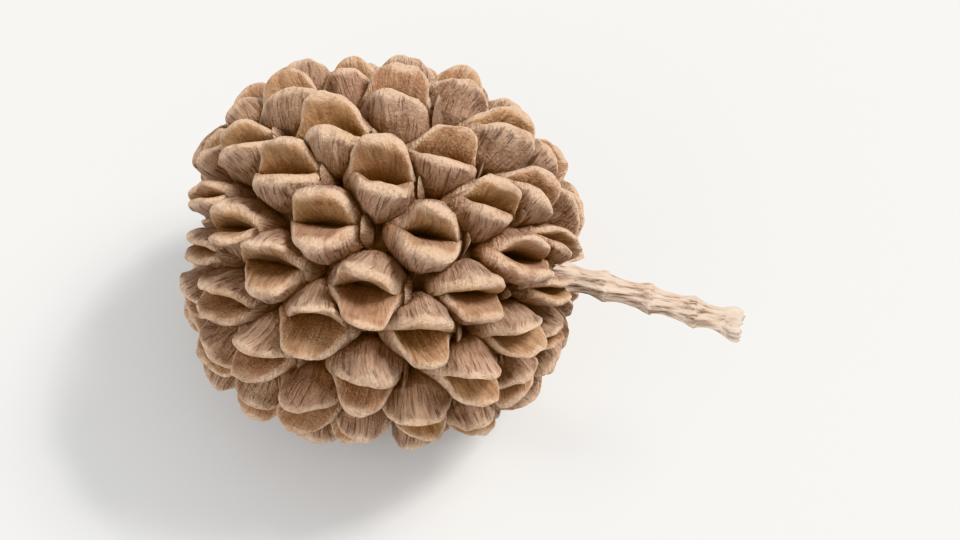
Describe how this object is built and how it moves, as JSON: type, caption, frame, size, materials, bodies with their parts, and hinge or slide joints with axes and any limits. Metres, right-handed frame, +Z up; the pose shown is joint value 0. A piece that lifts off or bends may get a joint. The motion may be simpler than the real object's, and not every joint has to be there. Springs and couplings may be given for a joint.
{
  "type": "casuarina cone",
  "caption": "Dried woody casuarina cone: a barrel covered in whorls of gaping paired valves round empty seed pockets, with its short bare stalk, lying on its side.",
  "frame": {"origin": "centre of the bounding box at its base, on the surface that the cone lies on", "axes": "+X along the cone's axis towards the end of the stalk, +Z up"},
  "size_m": [0.02, 0.0139, 0.0138],
  "materials": {
    "cone_wood": "matt, dry, fibrous",
    "stalk_bark": "matt, dry, pale bark"
  },
  "bodies": {
    "root": {"cone": "cone_wood", "stalk": "stalk_bark"}
  },
  "joints": []
}
